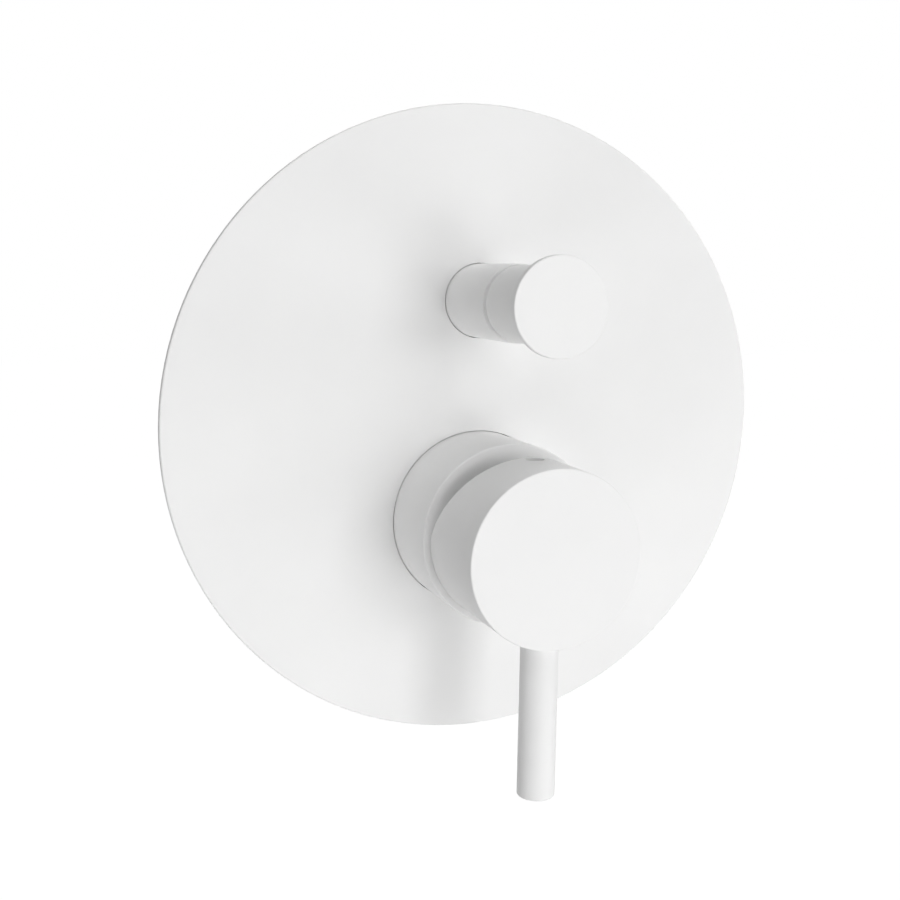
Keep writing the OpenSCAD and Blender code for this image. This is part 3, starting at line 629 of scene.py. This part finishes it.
# %% White for the camera, plain for the light
def seen_directly(finish):
    """1 for rays that show the background as such, 0 for the light that falls on things."""
    rays = [finish.node("ShaderNodeLightPath", out=name)
            for name in ("Is Camera Ray", "Is Glossy Ray", "Is Transmission Ray")]
    return rays[0] | rays[1] | rays[2]


FLOOR_DROP = 0.36
FLOOR_GLOW = 1.15
GLOW_SHARE = 0.85

start_fresh()
bpy.ops.mesh.primitive_plane_add(size=12, location=(0, 0, cad_low.z - FLOOR_DROP))
floor = bpy.context.object
floor.name = "studio_floor"
pale = Finish("pale_floor", Roughness=0.9)
pale.shader.inputs["Base Color"].default_value = shade(0.86, 0.86, 0.86)
glow = pale.node("ShaderNodeEmission", None, {"Color": shade(1, 1, 1), "Strength": FLOOR_GLOW})
own_shade = Value(pale, pale.shader.outputs[0])
mixed = pale.node("ShaderNodeMixShader", None,
                  {0: seen_directly(pale) * GLOW_SHARE, 1: own_shade, 2: glow})
pale.feed(pale.tree.nodes["Material Output"].inputs["Surface"], mixed)
dress(floor, pale)
print(f"floor {FLOOR_DROP} m below the lowest point")

# %% A dim sky that looks white
SKY = 0.11


class Sky(Finish):
    """The world's own nodes, so that the sky can be written like a finish."""

    def __init__(self, name):
        self.world = bpy.data.worlds.new(name)
        self.world.use_nodes = True
        self.tree = self.world.node_tree
        self.shader = self.tree.nodes["Background"]


sky = Sky("studio_sky")
bpy.context.scene.world = sky.world
level = sky.node("ShaderNodeMapRange", None, {"Value": seen_directly(sky), "To Min": SKY, "To Max": 1.0})
sky.show(Color=shade(1, 1, 1), Strength=level)
print("sky lights the object at", SKY)

# %% [markdown]
# ## Lamps
#
# The photograph was taken in a white tent: most of the light comes from straight in front, a little to
# the right, and the tent's walls and top send the rest back. The shadows are soft and fall to the left.
# Ten soft squares stand in for this, each named by where it stands. The two lowest are small and near, so
# that they stay above the floor. Each lamp was rendered alone once, and the powers below are the mix that
# came closest to the photograph's tones.

# %% Place the soft lamps
aim = Vector((0, -20, -5)) * MM


def direction(turn, rise):
    """From the mixer towards a lamp or camera. A turn of 0 is in front, and it grows to the right."""
    return Vector((math.sin(turn) * math.cos(rise), -math.cos(turn) * math.cos(rise), math.sin(rise)))


def soft_lamp(name, azimuth, elevation, watts, distance=1.4, width=0.5):
    """A square lamp that looks at the mixer. Its place is in degrees and metres."""
    lamp = bpy.data.lights.new(name, "AREA")
    lamp.shape = "SQUARE"
    lamp.size = width
    lamp.energy = watts
    holder = bpy.data.objects.new(name, lamp)
    bpy.context.collection.objects.link(holder)
    away = direction(math.radians(azimuth), math.radians(elevation))
    holder.location = aim + away * distance
    holder.rotation_euler = away.to_track_quat("Z", "Y").to_euler()
    holder.visible_camera = False
    return holder


lamps = [
    soft_lamp("front", 10, 8, 5.4),
    soft_lamp("front_below", 10, -14, 3.16),
    soft_lamp("front_right", 30, 8, 0.89),
    soft_lamp("right", 75, 8, 1.58),
    soft_lamp("left_above", -40, 45, 2.33),
    soft_lamp("right_above", 60, 45, 1.4),
    soft_lamp("high_right", 30, 66, 1.94),
    soft_lamp("top", 0, 85, 2.67),
    soft_lamp("below_left", -50, -35, 0.46, distance=0.5, width=0.3),
    soft_lamp("below_right", 60, -35, 0.34, distance=0.5, width=0.3),
]
print("lamps:", {lamp.name: round(lamp.data.energy, 2) for lamp in lamps})

# %% [markdown]
# ## Camera
#
# The camera stands where the photographer's did: about a third of a metre away, to the left and a little
# above. Place, turn and lens were found by fitting the outlines of the plate, the sleeves and the front
# faces to the photograph, and are given as a direction from the mixer, a small roll, and a distance.

# %% Put the camera where the photographer stood
AZIMUTH, ELEVATION, ROLL = (math.radians(angle) for angle in (-20.355, 8.634, 0.868))
DISTANCE = 342.51 * MM
LENS, SENSOR = 47.62, 36
target = Vector((-8.095, -1.0, -6.921)) * MM
back = direction(AZIMUTH, ELEVATION)
level_right = (-back).cross(Vector((0, 0, 1))).normalized()
level_up = level_right.cross(-back)
right = level_right * math.cos(ROLL) + level_up * math.sin(ROLL)
up = level_up * math.cos(ROLL) - level_right * math.sin(ROLL)

camera = bpy.data.objects.new("camera", bpy.data.cameras.new("camera"))
bpy.context.collection.objects.link(camera)
camera.data.lens = LENS
camera.data.sensor_width = SENSOR
facing = Matrix((right, up, back)).transposed().to_4x4()
camera.matrix_world = Matrix.Translation(target + back * DISTANCE) @ facing
bpy.context.scene.camera = camera
bpy.context.scene.view_settings.view_transform = "Standard"
print("camera at", tuple(round(v / MM, 1) for v in camera.matrix_world.translation), "mm")
